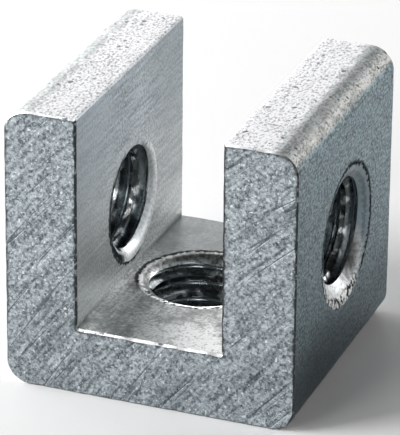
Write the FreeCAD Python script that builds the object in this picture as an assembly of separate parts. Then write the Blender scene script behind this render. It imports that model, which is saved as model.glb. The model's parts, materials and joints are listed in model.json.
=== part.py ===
"""U-section block nut: one length of extruded aluminium channel, sawn at both ends,
with a tapped and countersunk M8 hole through each leg and through the base.

Millimetres, +Z up. The origin is under the middle of the block. The channel runs along Y,
with the sawn ends facing -Y and +Y, and the two legs stand at -X and +X.
"""
import FreeCAD, Part
import math
import os

from FreeCAD import Rotation, Vector

# Section of the extrusion
WIDTH = 20.0
HEIGHT = 19.5
LEG_THICKNESS = 5.0
BASE_THICKNESS = 4.7
OUTER_CORNER_RADIUS = 1.6
INNER_CORNER_RADIUS = 0.25
LEG_LIP_BREAK = 0.08

# Saw cuts: how far each sawn end lies from the line of the holes
HOLES_TO_FRONT_CUT = 9.9
HOLES_TO_REAR_CUT = 9.1
SAWN_EDGE_BREAK = 0.1

# Tapped holes, M8 with a 1.25 mm pitch: the wall is left at the thread's crests
THREAD_CREST_RADIUS = 3.4
LEG_HOLE_HEIGHT = 9.75
OUTER_COUNTERSINK_RADIUS = 4.7
LEG_INNER_COUNTERSINK_RADIUS = 4.15
BASE_INNER_COUNTERSINK_RADIUS = 4.25
COUNTERSINK_ANGLE = 120.0

# How far a cutting tool runs past the face that it breaks through
TOOL_OVERRUN = 1.0

LENGTH = HOLES_TO_FRONT_CUT + HOLES_TO_REAR_CUT
HOLE_Y = (HOLES_TO_FRONT_CUT - HOLES_TO_REAR_CUT) / 2.0
OUTER_X = WIDTH / 2.0
INNER_X = OUTER_X - LEG_THICKNESS


def arc_about(centre_x, centre_z, radius, start_degrees, end_degrees):
    """An arc in the front plane, given by its centre and its two end angles."""
    middle_degrees = (start_degrees + end_degrees) / 2.0

    def point(degrees):
        angle = math.radians(degrees)
        return Vector(centre_x + radius * math.cos(angle), 0.0, centre_z + radius * math.sin(angle))

    return Part.Arc(point(start_degrees), point(middle_degrees), point(end_degrees))


def section_outline():
    """The U section as one closed wire: four rounded outer corners, a square channel inside."""
    corner_x = OUTER_X - OUTER_CORNER_RADIUS
    corner_top = HEIGHT - OUTER_CORNER_RADIUS
    fillet_x = INNER_X - INNER_CORNER_RADIUS
    fillet_z = BASE_THICKNESS + INNER_CORNER_RADIUS
    corners = [
        arc_about(-corner_x, OUTER_CORNER_RADIUS, OUTER_CORNER_RADIUS, 180.0, 270.0),
        arc_about(corner_x, OUTER_CORNER_RADIUS, OUTER_CORNER_RADIUS, 270.0, 360.0),
        arc_about(corner_x, corner_top, OUTER_CORNER_RADIUS, 0.0, 90.0),
        (Vector(INNER_X + LEG_LIP_BREAK, 0.0, HEIGHT), Vector(INNER_X, 0.0, HEIGHT - LEG_LIP_BREAK)),
        arc_about(fillet_x, fillet_z, INNER_CORNER_RADIUS, 0.0, -90.0),
        arc_about(-fillet_x, fillet_z, INNER_CORNER_RADIUS, 270.0, 180.0),
        (Vector(-INNER_X, 0.0, HEIGHT - LEG_LIP_BREAK), Vector(-INNER_X - LEG_LIP_BREAK, 0.0, HEIGHT)),
        arc_about(-corner_x, corner_top, OUTER_CORNER_RADIUS, 90.0, 180.0),
    ]
    pieces = [Part.LineSegment(*corner) if isinstance(corner, tuple) else corner for corner in corners]
    edges = []
    for piece, following in zip(pieces, pieces[1:] + pieces[:1]):
        edges.append(piece.toShape())
        edges.append(Part.LineSegment(piece.EndPoint, following.StartPoint).toShape())
    return Part.Wire(edges)


def channel_length():
    """The section drawn out along Y between the two saw cuts."""
    section = Part.Face(section_outline())
    section.translate(Vector(0.0, -LENGTH / 2.0, 0.0))
    return section.extrude(Vector(0.0, LENGTH, 0.0))


def break_sawn_edges(channel):
    """Take the burr off every edge of the two sawn ends."""
    def lies_in_a_saw_cut(edge):
        box = edge.BoundBox
        return box.YLength < 1e-6 and abs(abs(box.Center.y) - LENGTH / 2.0) < 1e-6

    sawn = [edge for edge in channel.Edges if lies_in_a_saw_cut(edge)]
    return channel.makeChamfer(SAWN_EDGE_BREAK, sawn)


def tapping_cutter(wall, outer_countersink_radius, inner_countersink_radius):
    """A drill and its two countersinks as one turned form.

    It stands on its own Z axis, with the wall's outer face at 0 and its inner face at wall.
    Past each face it runs straight on, so that it cannot touch the wall opposite or beside it.
    """
    slope = math.tan(math.radians(COUNTERSINK_ANGLE / 2.0))
    outer_depth = (outer_countersink_radius - THREAD_CREST_RADIUS) / slope
    inner_depth = (inner_countersink_radius - THREAD_CREST_RADIUS) / slope
    half_profile = [
        Vector(0.0, 0.0, -TOOL_OVERRUN),
        Vector(outer_countersink_radius, 0.0, -TOOL_OVERRUN),
        Vector(outer_countersink_radius, 0.0, 0.0),
        Vector(THREAD_CREST_RADIUS, 0.0, outer_depth),
        Vector(THREAD_CREST_RADIUS, 0.0, wall - inner_depth),
        Vector(inner_countersink_radius, 0.0, wall),
        Vector(inner_countersink_radius, 0.0, wall + TOOL_OVERRUN),
        Vector(0.0, 0.0, wall + TOOL_OVERRUN),
    ]
    profile = Part.Face(Part.makePolygon(half_profile + half_profile[:1]))
    return profile.revolve(Vector(0.0, 0.0, 0.0), Vector(0.0, 0.0, 1.0), 360.0)


def hole_cutters():
    """The three tapped holes: one through each leg on a common axis, one up through the base."""
    leg_cutter = tapping_cutter(LEG_THICKNESS, OUTER_COUNTERSINK_RADIUS, LEG_INNER_COUNTERSINK_RADIUS)
    base_cutter = tapping_cutter(BASE_THICKNESS, OUTER_COUNTERSINK_RADIUS, BASE_INNER_COUNTERSINK_RADIUS)
    towards_plus_x = Rotation(Vector(0.0, 0.0, 1.0), Vector(1.0, 0.0, 0.0))
    towards_minus_x = Rotation(Vector(0.0, 0.0, 1.0), Vector(-1.0, 0.0, 0.0))
    left = leg_cutter.copy()
    left.Placement = FreeCAD.Placement(Vector(-OUTER_X, HOLE_Y, LEG_HOLE_HEIGHT), towards_plus_x)
    right = leg_cutter.copy()
    right.Placement = FreeCAD.Placement(Vector(OUTER_X, HOLE_Y, LEG_HOLE_HEIGHT), towards_minus_x)
    base_cutter.translate(Vector(0.0, HOLE_Y, 0.0))
    return [left, right, base_cutter]


def nut_body():
    """The finished block as one solid."""
    block = break_sawn_edges(channel_length())
    return block.cut(hole_cutters()).removeSplitter()


os.makedirs("parts", exist_ok=True)
body = nut_body()
body.exportStep("parts/nut_body.step")
box = body.BoundBox
print("nut_body: %d solid, valid %s, volume %.1f mm3" % (len(body.Solids), body.isValid(), body.Volume))
print("box: %.3f x %.3f x %.3f mm" % (box.XLength, box.YLength, box.ZLength))
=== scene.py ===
"""Looks for the U-section block nut: sawn ends, tapped and countersunk holes, bare metal finish."""

import json
import math

import bpy
import numpy as np
from mathutils import Matrix, Vector
from mathutils.geometry import delaunay_2d_cdt


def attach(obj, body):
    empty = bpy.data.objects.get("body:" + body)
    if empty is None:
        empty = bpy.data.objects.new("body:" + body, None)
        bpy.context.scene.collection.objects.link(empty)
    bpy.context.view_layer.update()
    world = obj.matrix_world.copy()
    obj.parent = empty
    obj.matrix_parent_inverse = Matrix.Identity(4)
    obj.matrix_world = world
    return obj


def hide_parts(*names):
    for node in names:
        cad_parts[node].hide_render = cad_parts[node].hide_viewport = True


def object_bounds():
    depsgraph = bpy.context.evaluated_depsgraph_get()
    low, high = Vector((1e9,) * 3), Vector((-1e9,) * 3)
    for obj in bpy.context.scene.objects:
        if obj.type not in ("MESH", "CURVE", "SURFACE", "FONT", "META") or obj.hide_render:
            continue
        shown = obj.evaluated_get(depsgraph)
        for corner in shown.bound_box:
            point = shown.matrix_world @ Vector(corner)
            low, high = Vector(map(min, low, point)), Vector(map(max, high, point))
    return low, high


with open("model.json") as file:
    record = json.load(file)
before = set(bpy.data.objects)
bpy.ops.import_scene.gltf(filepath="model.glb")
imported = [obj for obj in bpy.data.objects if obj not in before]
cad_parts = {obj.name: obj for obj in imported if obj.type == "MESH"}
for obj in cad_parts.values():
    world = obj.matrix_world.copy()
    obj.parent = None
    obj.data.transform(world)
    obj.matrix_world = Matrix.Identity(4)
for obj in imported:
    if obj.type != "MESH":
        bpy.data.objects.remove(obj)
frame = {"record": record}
cad_low, cad_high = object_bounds()

MM = 0.001

# Block, in millimetres: the outer box comes from the frame. The section repeats the part's own,
# but with sharp inner corners and rounder leg lips, as they look in the photograph
HALF_WIDTH = (cad_high.x - cad_low.x) / MM / 2.0
HALF_LENGTH = (cad_high.y - cad_low.y) / MM / 2.0
HEIGHT = cad_high.z / MM
LEG_THICKNESS = 5.0
BASE_THICKNESS = 4.7
OUTER_CORNER_RADIUS = 1.6
INNER_CORNER_RADIUS = 0.002
LEG_LIP_RADIUS = 0.16
INNER_X = HALF_WIDTH - LEG_THICKNESS
OUTLINE_STEP = 0.25

# Tapped holes: where they lie and their crest radius come from the record's mounts
MOUNTS = {mount["name"]: mount for mount in frame["record"]["mounts"]}
HOLE_Y = MOUNTS["base_thread"]["pos_m"][1] / MM
LEG_HOLE_HEIGHT = MOUNTS["left_leg_thread"]["pos_m"][2] / MM
PITCH = 1.25
THREAD_ROOT_RADIUS = 4.0
THREAD_FLANK_DEGREES = 30.0
THREAD_SOFTENING = 0.035
OUTER_COUNTERSINK_RADIUS = 4.7
LEG_INNER_COUNTERSINK_RADIUS = 4.15
BASE_INNER_COUNTERSINK_RADIUS = 4.25
COUNTERSINK_DEGREES = 120.0
ROLLED_LIP = 0.2
OUTER_LIP_ROUNDNESS = 1.8
INNER_LIP_ROUNDNESS = 2.8

# How far beyond its radius an outer countersink still counts, with its rolled and ragged lip
LIP_MARGIN = 0.29

# Circular saw marks on the sawn ends
SAW_CENTRE = (62.0, -48.0)
SAW_ROW_STEP = 0.07
SAW_POINT_STEP = 0.25
SAW_ROW_MARGIN = 12.0
SAW_RIPPLE = 0.004
MARK_WAVER = 0.03
MARK_FADE = 0.8
REAR_MARK_COUNT = 20
REAR_MARK_SPREAD = 24.0
CLEAR_OF_OUTLINE = 0.13

# Broken edges of the sawn ends: their size, and its shares in the channel and outside it
SAWN_EDGE_BREAK = 0.1
CHANNEL_EDGE_SHARE = 1.35
OUTER_EDGE_SHARE = 1.05

# Raggedness: how many waves run round an end's outline and round a countersink's lip
EDGE_WAVES = (11, 23, 37, 61, 97)
LIP_WAVES = (5, 13, 22, 37, 53)
ANY_PHASE = 6.28

# Deep marks on the front end: radius in millimetres, first and last angle in degrees, strength.
# The third is given. The ends of the others were read off the photograph and carried onto
# the front end through the camera below, and their radii and angles were then rounded
FRONT_MARKS = (
    (73.4, 135.3, 138.8, 1.0),
    (75.2, 135.5, 140.2, 1.0),
    (76.6, 139.0, 141.0, 0.5),
    (77.9, 138.7, 141.8, 1.0),
    (78.6, 133.5, 135.8, 0.7),
    (79.6, 141.3, 142.7, 0.8),
    (80.7, 130.4, 134.2, 0.9),
    (80.6, 142.0, 143.6, 0.8),
    (82.1, 142.9, 144.8, 0.9),
    (82.9, 130.8, 133.1, 0.6),
    (83.2, 143.6, 145.0, 0.8),
    (85.3, 141.9, 145.4, 0.7),
    (86.1, 141.2, 144.8, 0.9),
    (86.9, 140.8, 143.4, 0.7),
    (86.9, 129.2, 130.8, 0.6),
    (89.5, 141.0, 143.2, 0.7),
    (91.8, 138.6, 140.9, 0.6),
    (94.4, 137.9, 139.0, 0.6),
)

# Camera, solved from the photograph
CAMERA_POSITION = (77.9, -206.25, 112.59)
CAMERA_AZIMUTH = 20.72
CAMERA_ELEVATION = 25.07
CAMERA_ROLL = 0.53
CAMERA_FOCAL_PIXELS = 3681.0
PHOTO_HEIGHT = 435
SENSOR = 36.0

# Studio
FLOOR_REACH = 3.0
LAMP_TARGET = Vector((0.0, 0.0, 0.01))
LAMP_DISTANCE = 0.45
WORLD_STRENGTH = 0.02

# Which finish lies where: how flush a face is, how deep an end and its rim reach, in millimetres,
# and where the side of a countersink with painted highlight begins and how soon it is at its full, as shares
FLUSH = 0.03
END_DEPTH = 0.12
RIM_WIDTH = 0.19
PAINTED_HIGHLIGHT_SIDE_START = 0.45
PAINTED_HIGHLIGHT_SIDE_RISE = 0.3

# Colour of metal that is torn and dark
TORN = (0.035, 0.04, 0.045)

chance = np.random.default_rng(7)


# Outline of the section

def arc_segments(radius):
    """How many straight pieces a corner of this radius has."""
    if radius > 1.0:
        return 16
    return 4 if radius > 0.1 else 1


def rounded_outline(corners, step):
    """Points (x, z) and outward normals round a polygon of (x, z, radius) corners, anticlockwise."""
    points = []
    normals = []
    count = len(corners)
    arcs = []
    for index, (x, z, radius) in enumerate(corners):
        here = np.array((x, z))
        before = np.array(corners[index - 1][:2]) - here
        after = np.array(corners[(index + 1) % count][:2]) - here
        before /= np.linalg.norm(before)
        after /= np.linalg.norm(after)
        convex = before[0] * after[1] - before[1] * after[0] < 0
        half_angle = math.acos(float(np.dot(before, after))) / 2.0
        reach = radius / math.tan(half_angle)
        bisector = (before + after) / np.linalg.norm(before + after)
        centre = here + bisector * radius / math.sin(half_angle)
        first = here + before * reach - centre
        last = here + after * reach - centre
        start = math.atan2(first[1], first[0])
        sweep = (math.atan2(last[1], last[0]) - start + math.pi) % (2 * math.pi) - math.pi
        arc = []
        segments = arc_segments(radius)
        for number in range(segments + 1):
            angle = start + sweep * number / segments
            outward = np.array((math.cos(angle), math.sin(angle)))
            arc.append((centre + radius * outward, outward if convex else -outward))
        arcs.append(arc)
    for index, arc in enumerate(arcs):
        for point, normal in arc:
            points.append(point)
            normals.append(normal)
        end = arc[-1][0]
        run = arcs[(index + 1) % count][0][0] - end
        length = np.linalg.norm(run)
        along = run / length
        side = np.array((along[1], -along[0]))
        pieces = max(1, round(length / step))
        for number in range(1, pieces):
            points.append(end + run * number / pieces)
            normals.append(side)
    return np.array(points), np.array(normals)


def section():
    """The U section's outline."""
    corners = [
        (-HALF_WIDTH, 0.0, OUTER_CORNER_RADIUS),
        (HALF_WIDTH, 0.0, OUTER_CORNER_RADIUS),
        (HALF_WIDTH, HEIGHT, OUTER_CORNER_RADIUS),
        (INNER_X, HEIGHT, LEG_LIP_RADIUS),
        (INNER_X, BASE_THICKNESS, INNER_CORNER_RADIUS),
        (-INNER_X, BASE_THICKNESS, INNER_CORNER_RADIUS),
        (-INNER_X, HEIGHT, LEG_LIP_RADIUS),
        (-HALF_WIDTH, HEIGHT, OUTER_CORNER_RADIUS),
    ]
    return rounded_outline(corners, OUTLINE_STEP)


# Sawn ends

def saw_mark(radius, first, last, strength):
    """One deep mark: its arc about the saw's centre, in degrees, with its own width and waver."""
    return {
        "radius": radius,
        "first": math.radians(first),
        "last": math.radians(last),
        "strength": strength,
        "depth": chance.uniform(0.025, 0.045),
        "half_width": chance.uniform(0.06, 0.085),
        "phase": chance.uniform(0.0, 2.0 * math.pi),
    }


def rear_marks(count, spread):
    """Deep marks scattered over the rear end, which the photograph doesn't show."""
    middle = math.hypot(SAW_CENTRE[0], SAW_CENTRE[1] - HEIGHT / 2.0)
    turn = math.degrees(math.atan2(HEIGHT / 2.0 - SAW_CENTRE[1], -SAW_CENTRE[0]))
    marks = []
    for number in range(count):
        radius = middle + (number / (count - 1) - 0.5 + chance.uniform(-0.02, 0.02)) * spread
        centre = turn + chance.uniform(-6.0, 6.0)
        reach = chance.uniform(0.8, 2.2)
        marks.append(saw_mark(radius, centre - reach, centre + reach, chance.uniform(0.5, 1.0)))
    return marks


def marks_at(x, z, marks):
    """Each deep mark near (x, z), with its strength there between 0 and 1."""
    radius = math.hypot(x - SAW_CENTRE[0], z - SAW_CENTRE[1])
    angle = math.atan2(z - SAW_CENTRE[1], x - SAW_CENTRE[0])
    for mark in marks:
        waver = MARK_WAVER * math.sin(angle * radius * 1.9 + mark["phase"])
        away = (radius + waver - mark["radius"]) / mark["half_width"]
        from_end = min(angle - mark["first"], mark["last"] - angle) * radius
        if abs(away) < 3.0 and from_end > 0.0:
            unevenness = 0.8 + 0.2 * math.sin(angle * radius * 3.1 + mark["phase"])
            fade = min(1.0, from_end / MARK_FADE) * unevenness
            yield mark, mark["strength"] * fade * math.exp(-away * away)


def saw_depth(x, z, marks):
    """How deep the saw cut at (x, z), in millimetres, never less than nothing."""
    radius = math.hypot(x - SAW_CENTRE[0], z - SAW_CENTRE[1])
    ripple = SAW_RIPPLE + SAW_RIPPLE * math.sin(radius * 9.0) * math.sin(radius * 23.0 + 1.0)
    return max(0.0, ripple + sum(mark["depth"] * strength for mark, strength in marks_at(x, z, marks)))


def saw_strength(x, z, marks):
    """How strongly a deep mark shows at (x, z), from 0 to 1."""
    return min(1.0, sum(strength for _, strength in marks_at(x, z, marks)))


def inside(points, polygon):
    """Which points lie inside the polygon, by crossings."""
    result = np.zeros(len(points), bool)
    x, z = points[:, 0], points[:, 1]
    for (x0, z0), (x1, z1) in zip(polygon, np.roll(polygon, -1, axis=0)):
        crosses = (z0 > z) != (z1 > z)
        if z0 != z1:
            result ^= crosses & (x < (x1 - x0) * (z - z0) / (z1 - z0) + x0)
    return result


def sawn_points(outline):
    """Points inside the outline in rows that follow the saw's arcs, clear of the outline itself."""
    box = np.array([(x, z) for x in (-HALF_WIDTH, HALF_WIDTH) for z in (0.0, HEIGHT)])
    reach = np.hypot(box[:, 0] - SAW_CENTRE[0], box[:, 1] - SAW_CENTRE[1])
    angles = np.arctan2(box[:, 1] - SAW_CENTRE[1], box[:, 0] - SAW_CENTRE[0]) % (2 * math.pi)
    rows = []
    radii = np.arange(reach.min() - SAW_ROW_MARGIN, reach.max(), SAW_ROW_STEP)
    for number, radius in enumerate(radii):
        step = SAW_POINT_STEP / radius
        angle = np.arange(angles.min(), angles.max(), step) + (number % 2) * step / 2.0
        rows.append(np.column_stack((
            SAW_CENTRE[0] + radius * np.cos(angle),
            SAW_CENTRE[1] + radius * np.sin(angle),
        )))
    points = np.vstack(rows)
    points = points[inside(points, outline)]
    near = np.full(len(points), 1e9)
    for point in outline:
        near = np.minimum(near, np.hypot(points[:, 0] - point[0], points[:, 1] - point[1]))
    return points[near > CLEAR_OF_OUTLINE]


def sawn_end(outline):
    """A triangulated end face: outline points first, then the rows of points inside."""
    inner = sawn_points(outline)
    points = np.vstack((outline, inner))
    loop = list(range(len(outline)))
    _, _, faces, origin, _, _ = delaunay_2d_cdt(
        [Vector(point) for point in points], [], [loop], 1, 1e-7)
    source = [ids[0] for ids in origin]
    return points, [[source[vertex] for vertex in face] for face in faces]


def block_mesh(end_marks):
    """The block before its holes: a swept section between two sawn, saw-marked ends."""
    outline, normals = section()
    count = len(outline)
    turn = np.arange(count) / count * 2.0 * math.pi
    vertices = []
    faces = []
    rings = []
    for side, marks in zip((-1.0, 1.0), end_marks):
        wobble = sum(chance.uniform(0.3, 1.0) * np.sin(turn * cycles + chance.uniform(0.0, ANY_PHASE))
                     for cycles in EDGE_WAVES) / 2.5
        in_channel = (np.abs(outline[:, 0]) < INNER_X + 0.3) & (outline[:, 1] > BASE_THICKNESS - 0.1)
        share = np.where(in_channel, CHANNEL_EDGE_SHARE, OUTER_EDGE_SHARE)
        inset = SAWN_EDGE_BREAK * share * np.clip(1.0 + 0.3 * wobble, 0.6, 1.3)
        end_outline = outline - normals * inset[:, None]
        points, triangles = sawn_end(end_outline)
        base = len(vertices)
        for x, z in points:
            depth = saw_depth(x, z, marks)
            vertices.append((x, side * (HALF_LENGTH - depth), z))
        for triangle in triangles:
            ids = [base + vertex for vertex in triangle]
            faces.append(ids if side < 0 else ids[::-1])
        ring = len(vertices)
        for (x, z), width in zip(outline, inset):
            vertices.append((x, side * (HALF_LENGTH - width), z))
        rings.append(ring)
        for here in range(count):
            there = (here + 1) % count
            quad = [base + here, base + there, ring + there, ring + here]
            faces.append(quad if side > 0 else quad[::-1])
    front, rear = rings
    for here in range(count):
        there = (here + 1) % count
        faces.append([front + here, rear + here, rear + there, front + there])
    return np.array(vertices), faces


# Holes

def thread_profile(crest_radius):
    """One pitch of the thread as (distance along the axis, radius), from crest to crest."""
    flank = (THREAD_ROOT_RADIUS - crest_radius) * math.tan(math.radians(THREAD_FLANK_DEGREES))
    root = PITCH / 8.0
    crest = PITCH - 2.0 * flank - root
    soft = THREAD_SOFTENING
    return [
        (0.0, crest_radius + soft),
        (soft, crest_radius),
        (crest - soft, crest_radius),
        (crest, crest_radius + soft),
        (crest + flank - soft / 2, THREAD_ROOT_RADIUS - soft),
        (crest + flank + soft, THREAD_ROOT_RADIUS),
        (crest + flank + root - soft, THREAD_ROOT_RADIUS),
        (crest + flank + root + soft / 2, THREAD_ROOT_RADIUS - soft),
    ]


def radius_at(profile, along):
    """The profile's radius at any distance along the axis."""
    along = along % PITCH
    stops = profile + [(PITCH, profile[0][1])]
    return float(np.interp(along, [stop[0] for stop in stops], [stop[1] for stop in stops]))


def threaded_plug(length, crest_radius, phase, segments=112, overrun=0.3):
    """A closed screw form on its own Z axis, from -overrun to length + overrun."""
    profile = thread_profile(crest_radius)
    stops = len(profile)
    low, high = -overrun, length + overrun
    first_turn = math.floor((low - phase) / PITCH) - 2
    last_turn = math.ceil((high - phase) / PITCH) + 2
    rows = (last_turn - first_turn) * stops + 1
    vertices = []
    for segment in range(segments):
        share = segment / segments
        angle = 2.0 * math.pi * share
        for row in range(rows):
            turn, stop = divmod(row, stops)
            along = phase + (first_turn + turn + share) * PITCH + profile[stop][0]
            radius = profile[stop][1]
            limited = min(max(along, low), high)
            if limited != along:
                radius = radius_at(profile, limited - phase - share * PITCH)
            vertices.append((radius * math.cos(angle), radius * math.sin(angle), limited))
    centre = len(vertices)
    vertices += [(0.0, 0.0, low), (0.0, 0.0, high)]
    faces = []
    for segment in range(segments):
        following = (segment + 1) % segments
        lift = stops if following == 0 else 0
        here = segment * rows
        there = following * rows + lift
        for row in range(rows - 1 - lift):
            faces.append([here + row, there + row, there + row + 1, here + row + 1])
        faces.append([centre, following * rows, here])
        faces.append([centre + 1, here + rows - 1, following * rows + rows - 1])
    return vertices, faces


def countersink_depth(face_radius, crest_radius):
    """How far below its face a countersink meets the thread's crests."""
    return (face_radius - crest_radius) / math.tan(math.radians(COUNTERSINK_DEGREES / 2.0))


def countersink(face_radius, crest_radius, roundness, segments=144, overrun=0.2):
    """A closed countersink on its own Z axis, with a rolled lip at the wall's face, which is at 0."""
    deep = countersink_depth(face_radius, crest_radius)
    lip_radius = face_radius + ROLLED_LIP
    width = lip_radius - crest_radius
    shares = (0.0, 0.05, 0.11, 0.18, 0.27, 0.38, 0.51, 0.66, 0.83, 1.0, 1.18, 1.36)
    rings = [(-overrun, 0.0)] + [(deep * share ** roundness, share) for share in shares]
    turn = np.arange(segments) / segments * 2.0 * math.pi
    waves = [np.sin(turn * cycles + chance.uniform(0.0, ANY_PHASE)) for cycles in LIP_WAVES]
    ragged = sum(waves) / len(waves)
    vertices = []
    for level, share in rings:
        outward = 0.5 * ROLLED_LIP * max(0.0, 1.0 - share) ** 3
        for angle, tear in zip(turn, ragged):
            radius = lip_radius - share * width + outward * tear
            vertices.append((radius * math.cos(angle), radius * math.sin(angle), level))
    centre = len(vertices)
    vertices += [(0.0, 0.0, rings[0][0]), (0.0, 0.0, rings[-1][0])]
    faces = []
    top = (len(rings) - 1) * segments
    for segment in range(segments):
        following = (segment + 1) % segments
        for here in range(0, top, segments):
            faces.append([here + segment, here + following,
                          here + segments + following, here + segments + segment])
        faces.append([centre, following, segment])
        faces.append([centre + 1, top + segment, top + following])
    return vertices, faces


def closed_object(name, vertices, faces):
    """A mesh object in metres, with coincident vertices merged and collapsed faces left out."""
    places = {}
    merged = []
    lookup = []
    for vertex in vertices:
        key = tuple(round(value * 1e5) for value in vertex)
        if key not in places:
            places[key] = len(merged)
            merged.append(tuple(value * MM for value in vertex))
        lookup.append(places[key])
    kept = []
    for face in faces:
        ids = [lookup[vertex] for vertex in face]
        ids = [here for here, before in zip(ids, ids[-1:] + ids[:-1]) if here != before]
        if len(set(ids)) > 2:
            kept.append(ids)
    mesh = bpy.data.meshes.new(name)
    mesh.from_pydata(merged, [], kept)
    mesh.validate()
    piece = bpy.data.objects.new(name, mesh)
    bpy.context.scene.collection.objects.link(piece)
    return piece


class Hole:
    """One tapped hole: where it starts on its outer face, the way it runs in, and its cutters.

    crest_depth is where a thread crest lies, pale_side points to the side of its countersinks with painted
    highlight, and shade says how far the other side may be marked as plain, painted shade, from 0 to 1.
    """

    def __init__(self, mount_name, wall, inner_radius, crest_depth, pale_side, shade):
        mount = MOUNTS[mount_name]
        centre = Vector(mount["pos_m"])
        outward = Vector(mount["axis"])
        reach = max(outward.dot(cad_low - centre), outward.dot(cad_high - centre))
        self.name = mount_name
        self.start = centre + outward * reach
        self.inward = -outward
        self.wall = wall
        self.inner_radius = inner_radius
        self.crest_radius = mount["dims"]["r_mm"]
        self.crest_depth = crest_depth
        self.pale_side = Vector(pale_side)
        self.shade = shade

    def depth_and_radius(self, point):
        """A point's depth below the outer face and its distance from the axis, in millimetres."""
        offset = (point - self.start) / MM
        depth = offset.dot(self.inward)
        return depth, (offset - self.inward * depth).length

    def lip_share(self, depth, radius):
        """How near a point on a countersink is to its lip, from 1 there to 0 at the crests."""
        best = 0.0
        ends = (
            (depth, OUTER_COUNTERSINK_RADIUS, OUTER_LIP_ROUNDNESS),
            (self.wall - depth, self.inner_radius, INNER_LIP_ROUNDNESS),
        )
        for below, face_radius, roundness in ends:
            deep = countersink_depth(face_radius, self.crest_radius)
            if -0.01 < below < deep * 1.2:
                share = (max(below, 0.0) / deep) ** (1.0 / roundness)
                on_cone = face_radius + ROLLED_LIP - share * (face_radius + ROLLED_LIP - self.crest_radius)
                if radius > on_cone - 0.03 - 0.15 * (1.0 - min(share, 1.0)) ** 3:
                    best = max(best, 1.02 - share)
        return best

    def holds(self, centre):
        """Whether a face belongs to the hole's wall, not to the flat face around it."""
        depth, radius = self.depth_and_radius(centre)
        return 0.0005 < depth < self.wall - 0.0005 and radius < OUTER_COUNTERSINK_RADIUS + LIP_MARGIN

    def cutters(self):
        """The three closed forms that cut the hole: the screw form and the two countersinks."""
        rear = Vector((0.0, 1.0, 0.0))
        turn = Matrix((rear, self.inward.cross(rear), self.inward)).transposed().to_4x4()
        at_outer_face = Matrix.Translation(self.start) @ turn
        at_inner_face = (at_outer_face @ Matrix.Translation((0.0, 0.0, self.wall * MM))
                         @ Matrix.Rotation(math.pi, 4, "X"))
        phase = self.crest_depth - thread_profile(self.crest_radius)[3][0] / 2.0
        outer_cone = countersink(OUTER_COUNTERSINK_RADIUS, self.crest_radius, OUTER_LIP_ROUNDNESS)
        inner_cone = countersink(self.inner_radius, self.crest_radius, INNER_LIP_ROUNDNESS)
        forms = [
            ("screw", threaded_plug(self.wall, self.crest_radius, phase), at_outer_face),
            ("outer_cone", outer_cone, at_outer_face),
            ("inner_cone", inner_cone, at_inner_face),
        ]
        made = []
        for label, (vertices, faces), placement in forms:
            cutter = closed_object(self.name + "_" + label, vertices, faces)
            cutter.matrix_world = placement
            made.append(cutter)
        return made


# Finishes, in object space and millimetres

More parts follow.
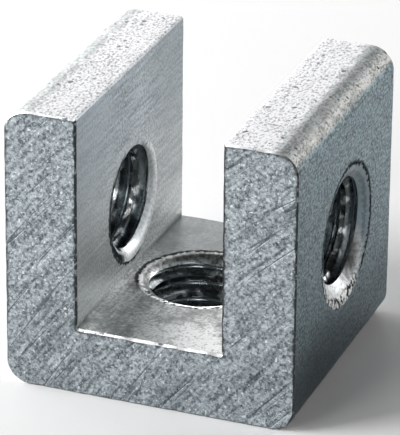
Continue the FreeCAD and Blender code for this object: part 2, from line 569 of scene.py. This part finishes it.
class Finish:
    """One metal finish: adds nodes to its material, with sockets or plain values as inputs."""

    def __init__(self, name, colour, roughness):
        self.material = bpy.data.materials.new(name)
        self.material.use_nodes = True
        self.nodes = self.material.node_tree.nodes
        self.shader = self.nodes["Principled BSDF"]
        self.shader.inputs["Metallic"].default_value = 1.0
        self.shader.inputs["Base Color"].default_value = (*colour, 1.0)
        self.shader.inputs["Roughness"].default_value = roughness

    def add(self, kind, inputs, **settings):
        node = self.nodes.new(kind)
        for name, value in settings.items():
            setattr(node, name, value)
        for key, value in inputs.items():
            self.plug(node.inputs[key], value)
        return node

    def plug(self, socket, value):
        if isinstance(value, bpy.types.NodeSocket):
            self.material.node_tree.links.new(value, socket)
        else:
            socket.default_value = value

    def math(self, operation, first, second=0.0):
        return self.add("ShaderNodeMath", {0: first, 1: second}, operation=operation).outputs[0]

    def times(self, first, *factors):
        """The product of all the factors."""
        for factor in factors:
            first = self.math("MULTIPLY", first, factor)
        return first

    def weighted(self, *parts):
        """The sum of each value times its share."""
        total, *others = [self.math("MULTIPLY", value, share) for value, share in parts]
        for part in others:
            total = self.math("ADD", total, part)
        return total

    def length(self, vector):
        return self.add("ShaderNodeVectorMath", {0: vector}, operation="LENGTH").outputs["Value"]

    def facing(self):
        """The way the surface faces, as x, y and z."""
        normal = self.nodes.new("ShaderNodeNewGeometry").outputs["True Normal"]
        return self.add("ShaderNodeSeparateXYZ", {0: normal}).outputs

    def between_legs(self, x):
        """1 in the width of the channel, where the base's hole lies, and 0 in the legs."""
        return self.between(self.math("ABSOLUTE", x), INNER_X, INNER_X - 0.4)

    def join(self, x, y, z):
        return self.add("ShaderNodeCombineXYZ", {0: x, 1: y, 2: z}).outputs[0]

    def place(self):
        """The object-space position in millimetres, whole and as x, y and z."""
        place = self.nodes.new("ShaderNodeTexCoord").outputs["Object"]
        scaled = self.add("ShaderNodeVectorMath", {0: place, "Scale": 1.0 / MM}, operation="SCALE").outputs[0]
        parts = self.add("ShaderNodeSeparateXYZ", {0: scaled}).outputs
        return scaled, parts[0], parts[1], parts[2]

    def noise(self, vector, scale, detail=2.0, roughness=0.55, distortion=0.0):
        inputs = {"Vector": vector, "Scale": scale, "Detail": detail,
                  "Roughness": roughness, "Distortion": distortion}
        return self.add("ShaderNodeTexNoise", inputs).outputs[0]

    def attribute(self, name):
        return self.add("ShaderNodeAttribute", {}, attribute_name=name).outputs["Fac"]

    def between(self, value, low, high, to_low=0.0, to_high=1.0):
        inputs = {"Value": value, 1: low, 2: high, 3: to_low, 4: to_high}
        return self.add("ShaderNodeMapRange", inputs, interpolation_type="SMOOTHSTEP").outputs[0]

    def blend(self, share, first, second, blend_type="MIX"):
        node = self.add("ShaderNodeMix", {}, data_type="RGBA", blend_type=blend_type)
        self.plug(node.inputs[0], share)
        for socket, value in ((node.inputs[6], first), (node.inputs[7], second)):
            self.plug(socket, value if isinstance(value, bpy.types.NodeSocket) else (*value, 1.0))
        return node.outputs[2]

    def outline(self, across, up, axis_across, axis_up, radius, half_width, ragged):
        """A ragged line round a hole's rim, 1 on the line and 0 away from it.

        With it come the way out from the hole's axis, as a share across and a share up.
        """
        sideways = self.math("SUBTRACT", across, axis_across)
        upward = self.math("SUBTRACT", up, axis_up)
        length = self.length(self.join(sideways, upward, 0.0))
        torn = self.times(self.math("SUBTRACT", ragged, 0.5), 3.0 * half_width)
        away = self.math("ABSOLUTE", self.math("ADD", self.math("SUBTRACT", length, radius), torn))
        line = self.between(away, half_width, 0.5 * half_width)
        return line, self.math("DIVIDE", sideways, length), self.math("DIVIDE", upward, length)

    def bump(self, height, depth, strength=1.0, normal=None):
        inputs = {"Height": height, "Distance": depth * MM, "Strength": strength}
        if normal is not None:
            inputs["Normal"] = normal
        return self.add("ShaderNodeBump", inputs).outputs[0]

    def finish(self, colour=None, roughness=None, normal=None, soot=None):
        """Wire the finish up. Soot marks the dark torn places, which don't mirror anything."""
        for name, value in (("Base Color", colour), ("Roughness", roughness), ("Normal", normal)):
            if value is not None:
                self.plug(self.shader.inputs[name], value)
        if soot is not None:
            self.plug(self.shader.inputs["Metallic"], self.math("SUBTRACT", 1.0, soot))
            self.shader.inputs["Specular IOR Level"].default_value = 0.0
        return self.material


def sawn_finish():
    """Sawn ends: soft glittering grain, thin arcs left by the saw and its dark deep marks."""
    f = Finish("sawn_aluminium", (0.45, 0.49, 0.52), 0.5)
    place, x, y, z = f.place()
    from_saw_x = f.math("SUBTRACT", x, SAW_CENTRE[0])
    from_saw_z = f.math("SUBTRACT", z, SAW_CENTRE[1])
    radius = f.length(f.join(from_saw_x, 0.0, from_saw_z))
    along = f.times(f.math("ARCTAN2", from_saw_z, from_saw_x), 85.0)
    side = f.times(y, 3.0)
    scratches = f.noise(f.join(radius, f.times(along, 0.12), side), 4.2, 2.0, 0.55)
    swell = f.noise(f.join(radius, f.times(along, 0.03), side), 1.0, 1.0, 0.4)
    stripes = f.noise(f.join(radius, f.times(along, 0.09), side), 1.4, 1.0, 0.4)
    off_line = f.math("ABSOLUTE", f.math("SUBTRACT", swell, 0.5))
    patches = f.noise(place, 0.35, 1.0, 0.5)
    lines = f.times(f.between(off_line, 0.018, 0.005), f.between(patches, 0.42, 0.56))
    grain = f.noise(place, 5.0, 2.0, 0.65)
    fine = f.noise(place, 11.0, 1.0, 0.5)
    glitter = f.noise(place, 4.4, 1.0, 0.5)
    tone = f.weighted((grain, 0.56), (scratches, 0.26), (fine, 0.18))
    colour = f.blend(f.between(tone, 0.30, 0.70), (0.055, 0.070, 0.079), (0.54, 0.595, 0.63))
    colour = f.blend(f.between(glitter, 0.62, 0.76, 0.0, 0.75), colour, (0.78, 0.83, 0.86))
    deeper = f.times(f.between(stripes, 0.46, 0.36, 0.0, 0.30), f.between(z, 9.0, 4.0, 0.4, 1.0))
    colour = f.blend(deeper, colour, (0.10, 0.125, 0.14))
    colour = f.blend(f.times(lines, 0.62), colour, (0.045, 0.055, 0.063))
    colour = f.blend(f.times(f.attribute("saw_mark"), 0.95), colour, (0.030, 0.040, 0.047))
    torn = f.between(f.noise(place, 1.7, 3.0, 0.6), 0.40, 0.56)
    colour = f.blend(f.times(f.attribute("rim"), torn), colour, (0.03, 0.035, 0.04))
    rough = f.between(grain, 0.3, 0.7, 0.4, 0.6)
    height = f.math("ADD", grain, f.times(scratches, 0.4))
    height = f.math("SUBTRACT", height, f.times(lines, 0.5))
    return f.finish(colour, rough, f.bump(height, 0.05, 0.7))


def skin_finish():
    """Extruded outside: pale tops peppered with dark specks, slate sides painted darker than the tops as
    shade, and smudged round corners with painted reflections in bands.
    """
    f = Finish("extruded_skin", (0.68, 0.71, 0.72), 0.4)
    place, x, y, z = f.place()
    facing = f.facing()
    across = f.math("ABSOLUTE", facing[0])
    upward = f.math("ABSOLUTE", facing[2])
    drawn = f.join(x, f.times(y, 0.6), z)
    specks = f.noise(drawn, 5.9, 2.0, 0.6)
    lines = f.noise(f.join(x, f.times(y, 0.12), z), 3.6, 2.0, 0.55)
    clouds = f.noise(place, 0.8, 3.0, 0.6)
    tone = f.weighted((specks, 0.72), (lines, 0.16), (clouds, 0.12))
    flat = f.blend(f.between(tone, 0.36, 0.55), (0.24, 0.24, 0.25), (0.87, 0.875, 0.89))
    # Painted shade: the side faces take darker copies of the skin's colour, bluer on the right side and
    # plainer on the left
    painted_shade_side = f.blend(f.between(tone, 0.37, 0.63), (0.060, 0.088, 0.100), (0.37, 0.48, 0.525))
    plain = f.blend(f.between(tone, 0.37, 0.63), (0.085, 0.098, 0.105), (0.39, 0.44, 0.465))
    painted_shade_side = f.blend(f.between(x, 0.0, -1.0), painted_shade_side, plain)
    # Painted shade: the sides darker towards the bottom, more so towards the front
    low = f.times(f.between(z, 8.0, 2.5), f.between(y, 5.0, -6.0, 0.40, 0.74))
    painted_shade_side = f.blend(low, painted_shade_side, (0.036, 0.05, 0.055))
    mottled = f.noise(drawn, 1.6, 3.0, 0.6)
    wander = f.times(f.math("SUBTRACT", mottled, 0.5), 2.4)
    outside = f.math("ADD", f.math("ABSOLUTE", x), wander)
    corner_start = HALF_WIDTH - OUTER_CORNER_RADIUS
    # Painted reflections on the round corners: a slate band where they still face up and a warm band lower
    # down, with dark smudges over both
    slate = f.blend(f.between(tone, 0.38, 0.58), (0.23, 0.245, 0.245), (0.56, 0.585, 0.59))
    warm = f.blend(f.between(tone, 0.37, 0.56), (0.165, 0.167, 0.161), (0.65, 0.652, 0.63))
    top_side = f.between(f.math("ADD", upward, f.times(wander, 0.3)), 0.76, 0.92)
    corner = f.blend(top_side, warm, slate)
    corner = f.blend(f.between(mottled, 0.54, 0.40, 0.0, 0.4), corner, (0.20, 0.215, 0.21))
    colour = f.blend(f.between(outside, corner_start - 0.45, corner_start + 0.15), flat, corner)
    colour = f.blend(f.between(across, 0.84, 0.96), colour, painted_shade_side)
    ragged = f.noise(place, 2.6, 2.0, 0.6)
    rim_radius = OUTER_COUNTERSINK_RADIUS + ROLLED_LIP
    line, _, high = f.outline(y, z, HOLE_Y, LEG_HOLE_HEIGHT, rim_radius, 0.17, ragged)
    on_side = f.times(f.between(across, 0.90, 0.97), f.between(high, -0.75, -0.35, 0.0, 0.85))
    soot = f.times(line, on_side)
    colour = f.blend(soot, colour, (0.045, 0.055, 0.06))
    pits = f.noise(place, 1.9, 0.0, 0.5)
    colour = f.blend(f.between(pits, 0.75, 0.78), colour, (0.09, 0.09, 0.09))
    rough = f.between(specks, 0.3, 0.7, 0.38, 0.5)
    on_corner = f.times(f.between(upward, 0.995, 0.97), f.between(across, 0.96, 0.84))
    rough = f.math("ADD", rough, f.times(on_corner, 0.1))
    height = f.math("ADD", specks, f.times(lines, 0.4))
    return f.finish(colour, rough, f.bump(height, 0.035, 0.7), soot)


def channel_finish():
    """Inside of the channel: finer skin with faint lines along Y, painted light and shade on the walls, a
    stained floor with painted shadow at the rear and painted light at the front right, torn rims.
    """
    f = Finish("channel_skin", (0.66, 0.69, 0.70), 0.46)
    place, x, y, z = f.place()
    specks = f.noise(place, 5.4, 2.0, 0.65)
    lines = f.noise(f.join(x, f.times(y, 0.09), z), 3.4, 3.0, 0.6)
    smudges = f.noise(place, 0.55, 3.0, 0.7, 0.15)
    tone = f.weighted((specks, 0.60), (lines, 0.40))
    high = f.between(z, 10.0, 16.0)
    upper = f.blend(f.between(tone, 0.34, 0.64), (0.20, 0.235, 0.26), (0.64, 0.70, 0.735))
    lower = f.blend(f.between(tone, 0.34, 0.64), (0.31, 0.325, 0.33), (0.82, 0.845, 0.85))
    colour = f.blend(high, lower, upper)
    # Painted light and shade on the walls: lighter towards the front, most near the floor, and at the rear
    # darker high up and lighter low down
    near = f.blend(high, (0.90, 0.925, 0.93), (0.56, 0.62, 0.655))
    away = f.blend(f.between(z, 6.0, 9.5), (0.86, 0.885, 0.89), (0.30, 0.34, 0.365))
    colour = f.blend(f.between(y, -1.0, -8.0, 0.0, 0.45), colour, near)
    colour = f.blend(f.between(y, 2.0, 7.0, 0.0, 0.35), colour, away)
    floor = f.between(z, BASE_THICKNESS + 0.5, BASE_THICKNESS)
    grey = f.blend(f.between(tone, 0.36, 0.62), (0.26, 0.27, 0.265), (0.74, 0.755, 0.745))
    colour = f.blend(f.times(floor, 0.75), colour, grey)
    stain = f.times(f.between(smudges, 0.44, 0.62), floor, 0.62)
    colour = f.blend(stain, colour, (0.20, 0.21, 0.195))
    # Painted shadow: the rear of the floor darker
    far = f.times(f.between(y, 1.0, 5.0), floor, 0.78)
    colour = f.blend(far, colour, (0.20, 0.215, 0.22))
    # Painted light: the front right of the floor lighter, in patches
    front_right = f.times(f.between(x, -2.0, 3.0), f.between(y, -4.5, -7.0))
    painted_light_front_right = f.times(front_right, floor, f.between(smudges, 0.62, 0.42))
    painted_light_colour = f.blend(f.between(specks, 0.34, 0.50), (0.50, 0.50, 0.49), (0.90, 0.905, 0.90))
    colour = f.blend(painted_light_front_right, colour, painted_light_colour)
    ragged = f.noise(place, 2.6, 2.0, 0.6)
    wall_rim = LEG_INNER_COUNTERSINK_RADIUS + 0.6 * ROLLED_LIP
    line, rearward, upward = f.outline(y, z, HOLE_Y, LEG_HOLE_HEIGHT, wall_rim, 0.20, ragged)
    wall_line = f.times(line, f.between(rearward, 0.45, 0.1), f.between(upward, 0.80, 0.55), 0.95)
    floor_rim = BASE_INNER_COUNTERSINK_RADIUS + ROLLED_LIP
    line, _, rearward = f.outline(x, y, 0.0, HOLE_Y, floor_rim, 0.17, ragged)
    floor_line = f.times(line, floor, f.between(rearward, -0.7, -0.4), 0.85)
    torn = f.math("MAXIMUM", wall_line, floor_line)
    colour = f.blend(torn, colour, TORN)
    rough = f.between(tone, 0.3, 0.7, 0.40, 0.52)
    height = f.weighted((specks, 0.7), (lines, 0.8))
    return f.finish(colour, rough, f.bump(height, 0.03, 0.7), torn)


def edge_finish():
    """Broken edges of the sawn ends: bright where they face up, a painted highlight, and dark and ragged
    where they don't, painted shade.
    """
    f = Finish("broken_edge", (0.8, 0.82, 0.83), 0.4)
    upward = f.facing()[2]
    ragged = f.noise(f.place()[0], 2.6, 3.0, 0.65)
    # Painted shade on the edges that don't face up, painted highlight on those that do
    dark = f.blend(f.between(ragged, 0.52, 0.66), (0.05, 0.055, 0.06), (0.30, 0.32, 0.33))
    pale = f.blend(f.between(ragged, 0.34, 0.44), (0.22, 0.23, 0.24), (0.94, 0.95, 0.96))
    colour = f.blend(f.between(upward, 0.2, 0.45), dark, pale)
    return f.finish(colour, None, f.bump(ragged, 0.05, 0.5))


def thread_finish():
    """Cut thread: dark crests and flanks with small painted glints, and painted shade down in the grooves."""
    f = Finish("cut_thread", (0.45, 0.47, 0.48), 0.2)
    place, x, _, _ = f.place()
    tears = f.noise(place, 1.5, 2.0, 0.5)
    glints = f.noise(place, 1.1, 2.0, 0.5)
    # Painted glints on the crests, and painted shade down in the grooves, darker in the legs' holes than in
    # the base's
    crest = f.blend(f.between(glints, 0.48, 0.60), (0.13, 0.145, 0.15), (0.92, 0.935, 0.935))
    groove = f.blend(f.between_legs(x), (0.135, 0.155, 0.165), (0.46, 0.50, 0.515))
    colour = f.blend(f.between(f.attribute("groove"), 0.05, 0.7), crest, groove)
    rough = f.between(tears, 0.3, 0.7, 0.16, 0.3)
    return f.finish(colour, rough, f.bump(tears, 0.06, 0.5))


def countersink_finish():
    """Turned countersinks: on one side plain, as painted shade, or dark; on the other pale flakes at the lip,
    as painted highlight.
    """
    f = Finish("turned_countersink", (0.8, 0.82, 0.83), 0.3)
    place, x, y, _ = f.place()
    marks = f.noise(place, 2.0, 2.0, 0.5)
    specks = f.noise(place, 4.4, 2.0, 0.6)
    ragged = f.noise(place, 3.2, 2.0, 0.6)
    wavering = f.times(f.math("SUBTRACT", ragged, 0.5), 0.5)
    side = f.attribute("pale_lip")
    near_lip = f.math("ADD", f.attribute("lip"), wavering)
    colour = f.blend(f.between(specks, 0.38, 0.60), (0.50, 0.52, 0.53), (0.80, 0.82, 0.825))
    # Painted shade: the right leg's outer countersink darker and slate where it doesn't face up, with its
    # turned ring
    on_right = f.between(x, HALF_WIDTH - 1.5, HALF_WIDTH - 1.0)
    painted_shade_right = f.times(on_right, f.between(f.facing()[2], 0.32, 0.12), 0.92)
    ring = f.between(f.math("ABSOLUTE", f.math("SUBTRACT", near_lip, 0.55)), 0.13, 0.05, 0.0, 0.6)
    slate = f.blend(ring, (0.20, 0.265, 0.30), (0.06, 0.085, 0.10))
    colour = f.blend(painted_shade_right, colour, slate)
    # The base's countersinks: a greyer, darker copy as painted shade, pale patches as painted highlight, and
    # the turned ring
    glow = f.noise(place, 0.45, 1.0, 0.5)
    base_cone_painted_shade = f.blend(f.between(specks, 0.36, 0.60), (0.24, 0.25, 0.245), (0.62, 0.635, 0.625))
    base_cone_painted_shade = f.blend(f.between(glow, 0.50, 0.60), base_cone_painted_shade, (0.95, 0.96, 0.95))
    base_cone_painted_shade = f.blend(ring, base_cone_painted_shade, (0.10, 0.105, 0.10))
    colour = f.blend(f.times(f.between_legs(x), 0.9), colour, base_cone_painted_shade)
    # Painted shade: the left hole's side away from its painted highlight takes a plain, darker copy like the
    # wall round it
    plain_side = f.between(side, -0.3, -0.8)
    plain = f.blend(f.between(specks, 0.36, 0.62), (0.27, 0.30, 0.315), (0.64, 0.69, 0.715))
    colour = f.blend(plain_side, colour, plain)
    # Painted highlight: the left hole's pale side much lighter, and pale flakes at the lip on the pale side
    # of the other holes, broken by dark ragged ones
    on_wall = f.between(x, 0.4 - INNER_X, 0.1 - INNER_X)
    pale = f.times(f.between(side, 0.1, 0.8), on_wall)
    painted_light_colour = f.blend(f.between(specks, 0.36, 0.56), (0.76, 0.775, 0.78), (0.97, 0.985, 0.985))
    colour = f.blend(pale, colour, painted_light_colour)
    off_wall = f.between(on_wall, 0.0, 1.0, 1.0, 0.12)
    bright = f.times(f.between(near_lip, 0.45, 0.6), f.between(side, 0.0, 1.0), off_wall)
    flakes = f.blend(f.between(ragged, 0.42, 0.53), (0.12, 0.125, 0.13), (0.92, 0.925, 0.92))
    colour = f.blend(bright, colour, flakes)
    not_plain = f.between(plain_side, 1.0, 0.0)
    at_lip = f.times(f.between(near_lip, 0.84, 0.94), f.between(side, 0.35, 0.0), not_plain)
    at_crest = f.times(f.between(near_lip, 0.26, 0.16), plain_side)
    in_front = f.between(y, HOLE_Y - 1.0, HOLE_Y - 2.2)
    torn = f.times(f.between(near_lip, 0.38, 0.50), in_front, plain_side, f.between(near_lip, 1.02, 0.86))
    pits = f.times(bright, 0.85, f.between(ragged, 0.50, 0.43))
    soot = f.math("MAXIMUM", f.math("MAXIMUM", at_lip, at_crest), f.math("MAXIMUM", torn, pits))
    colour = f.blend(soot, colour, TORN)
    rough = f.math("ADD", f.between(marks, 0.3, 0.7, 0.28, 0.42), f.times(pale, 0.10))
    return f.finish(colour, rough, f.bump(marks, 0.05, 0.4), soot)


FINISHES = {
    "sawn": sawn_finish,
    "edge": edge_finish,
    "skin": skin_finish,
    "channel": channel_finish,
    "thread": thread_finish,
    "countersink": countersink_finish,
}


def surface_at(centre, normal, holes):
    """Which finish a face has, from where it lies and the way it faces."""
    x, y, z = (abs(centre.x) / MM, abs(centre.y) / MM, centre.z / MM)
    for hole in holes:
        if hole.holds(centre):
            return "countersink" if hole.lip_share(*hole.depth_and_radius(centre)) > 0.0 else "thread"
    if y > HALF_LENGTH - 0.2 and abs(normal.y) > 0.3:
        return "sawn" if abs(normal.y) > 0.9 else "edge"
    if x < INNER_X + FLUSH and z > BASE_THICKNESS - FLUSH:
        return "channel"
    return "skin"


def dress(mesh, holes, marks):
    """Give every face its finish, and the vertices their saw marks and thread grooves."""
    mesh.materials.clear()
    for make_finish in FINISHES.values():
        mesh.materials.append(make_finish())
    slots = list(FINISHES)
    for face in mesh.polygons:
        face.material_index = slots.index(surface_at(face.center, face.normal, holes))
        face.use_smooth = True
    shown = {name: np.zeros(len(mesh.vertices)) for name in ("saw_mark", "rim", "groove", "lip", "pale_lip")}
    outline, _ = section()
    for vertex in mesh.vertices:
        x, y, z = vertex.co / MM
        if abs(y) > HALF_LENGTH - END_DEPTH:
            side = marks[0] if y < 0 else marks[1]
            shown["saw_mark"][vertex.index] = saw_strength(x, z, side)
            from_outline = np.hypot(outline[:, 0] - x, outline[:, 1] - z).min()
            shown["rim"][vertex.index] = float(from_outline < RIM_WIDTH and z > BASE_THICKNESS - 0.4)
        for hole in holes:
            depth, radius = hole.depth_and_radius(vertex.co)
            if 0.0 < depth < hole.wall and radius < THREAD_ROOT_RADIUS + 0.05:
                share = (radius - hole.crest_radius) / (THREAD_ROOT_RADIUS - hole.crest_radius)
                shown["groove"][vertex.index] = min(max(share, 0.0), 1.0)
            if -0.01 < depth < hole.wall + 0.01 and radius < OUTER_COUNTERSINK_RADIUS + 0.4:
                shown["lip"][vertex.index] = hole.lip_share(depth, radius)
                # How far a vertex lies towards the countersink's side of painted highlight, from 1 there down
                # to -shade on its side of painted shade
                towards = ((vertex.co - hole.start) / MM).dot(hole.pale_side) / radius
                paleness = (towards - PAINTED_HIGHLIGHT_SIDE_START) / PAINTED_HIGHLIGHT_SIDE_RISE
                shown["pale_lip"][vertex.index] = min(max(paleness, -hole.shade), 1.0)
    for name, values in shown.items():
        mesh.attributes.new(name, "FLOAT", "POINT").data.foreach_set("value", values)
    mesh.set_sharp_from_angle(angle=math.radians(20.0))


def nut_body():
    """The finished block: sawn ends, threads and countersinks as form, and its six finishes."""
    marks = ([saw_mark(*mark) for mark in FRONT_MARKS], rear_marks(REAR_MARK_COUNT, REAR_MARK_SPREAD))
    vertices, faces = block_mesh(marks)
    block = closed_object("nut_body_finished", [tuple(vertex) for vertex in vertices], faces)
    holes = [
        Hole("left_leg_thread", LEG_THICKNESS, LEG_INNER_COUNTERSINK_RADIUS, 3.7, (0.0, 1.7, -1.06), 1.0),
        Hole("right_leg_thread", LEG_THICKNESS, LEG_INNER_COUNTERSINK_RADIUS, 1.42, (0.0, -0.4, -0.9), 0.3),
        Hole("base_thread", BASE_THICKNESS, BASE_INNER_COUNTERSINK_RADIUS, 3.1, (0.0, -1.0, 0.0), 0.0),
    ]
    cutters = [cutter for hole in holes for cutter in hole.cutters()]
    for cutter in cutters:
        cut = block.modifiers.new(cutter.name, "BOOLEAN")
        cut.operation = "DIFFERENCE"
        cut.solver = "MANIFOLD"
        cut.object = cutter
    bpy.context.view_layer.update()
    graph = bpy.context.evaluated_depsgraph_get()
    finished = bpy.data.meshes.new_from_object(block.evaluated_get(graph))
    block.modifiers.clear()
    block.data = finished
    for cutter in cutters:
        bpy.data.objects.remove(cutter)
    dress(finished, holes, marks)
    return block


# Studio

def floor_finish():
    """Matt white studio floor."""
    material = bpy.data.materials.new("floor_white")
    material.use_nodes = True
    shader = material.node_tree.nodes["Principled BSDF"]
    shader.inputs["Base Color"].default_value = (1.0, 1.0, 1.0, 1.0)
    shader.inputs["Roughness"].default_value = 0.9
    return material


def direction(azimuth, elevation):
    """The way out from the block, in degrees: azimuth 0 is the front, 90 the right, 180 the rear."""
    turn = math.radians(azimuth)
    lift = math.radians(elevation)
    return Vector((math.sin(turn) * math.cos(lift), -math.cos(turn) * math.cos(lift), math.sin(lift)))


def softbox(name, azimuth, elevation, size, radiance):
    """A square area lamp that faces the block from one direction."""
    towards = direction(azimuth, elevation)
    data = bpy.data.lights.new(name, "AREA")
    data.shape = "SQUARE"
    data.size = size
    data.energy = 4.0 * math.pi * size * size * radiance
    lamp = bpy.data.objects.new(name, data)
    lamp.location = LAMP_TARGET + towards * LAMP_DISTANCE
    lamp.rotation_euler = towards.to_track_quat("Z", "Y").to_euler()
    lamp.visible_camera = False
    bpy.context.scene.collection.objects.link(lamp)


def camera():
    """The photograph's own camera."""
    data = bpy.data.cameras.new("camera")
    data.sensor_width = SENSOR
    data.lens = CAMERA_FOCAL_PIXELS * SENSOR / PHOTO_HEIGHT
    data.clip_start = 0.01
    back = direction(CAMERA_AZIMUTH, CAMERA_ELEVATION)
    azimuth = math.radians(CAMERA_AZIMUTH)
    right = Vector((math.cos(azimuth), math.sin(azimuth), 0.0))
    up = back.cross(right)
    turn = Matrix((right, up, back)).transposed().to_4x4()
    piece = bpy.data.objects.new("camera", data)
    piece.matrix_world = (Matrix.Translation(Vector(CAMERA_POSITION) * MM) @ turn
                          @ Matrix.Rotation(math.radians(CAMERA_ROLL), 4, "Z"))
    bpy.context.scene.collection.objects.link(piece)
    bpy.context.scene.camera = piece


nut = nut_body()
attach(nut, "root")
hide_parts("nut_body")

floor_mesh = bpy.data.meshes.new("floor")
floor_corners = [(x * FLOOR_REACH, y * FLOOR_REACH, 0.0) for x, y in ((-1, -1), (1, -1), (1, 1), (-1, 1))]
floor_mesh.from_pydata(floor_corners, [], [(0, 1, 2, 3)])
floor_mesh.materials.append(floor_finish())
floor = bpy.data.objects.new("floor", floor_mesh)
bpy.context.scene.collection.objects.link(floor)

world = bpy.data.worlds.new("studio")
world.use_nodes = True
background = world.node_tree.nodes["Background"]
background.inputs["Color"].default_value = (1, 1, 1, 1)
background.inputs["Strength"].default_value = WORLD_STRENGTH

# Softboxes: name, azimuth, elevation, size and radiance. The radiances began as a fit of single-lamp
# renders to the photograph's tones and were then rounded and tuned
LAMPS = (
    ("key_left_front", 303.0, 20.0, 0.23, 2.4),
    ("front_left", 337.0, 20.0, 0.17, 1.5),
    ("front_low", 0.0, 6.0, 0.12, 0.6),
    ("left_high", 303.0, 38.0, 0.20, 1.3),
    ("left", 259.0, 20.0, 0.23, 1.1),
    ("left_low", 247.0, 6.0, 0.12, 1.6),
    ("left_front_low", 283.0, 6.0, 0.16, 0.5),
    ("rear_left", 225.0, 15.0, 0.20, 1.1),
    ("rear_left_low", 202.0, 6.0, 0.12, 2.1),
    ("rear_high", 187.0, 36.0, 0.20, 0.35),
    ("rear_right", 147.0, 13.0, 0.20, 0.5),
    ("rear_right_high", 156.0, 23.0, 0.17, 0.8),
)
for lamp in LAMPS:
    softbox(*lamp)
bpy.context.scene.world = world
bpy.context.scene.view_settings.view_transform = "Standard"
camera()
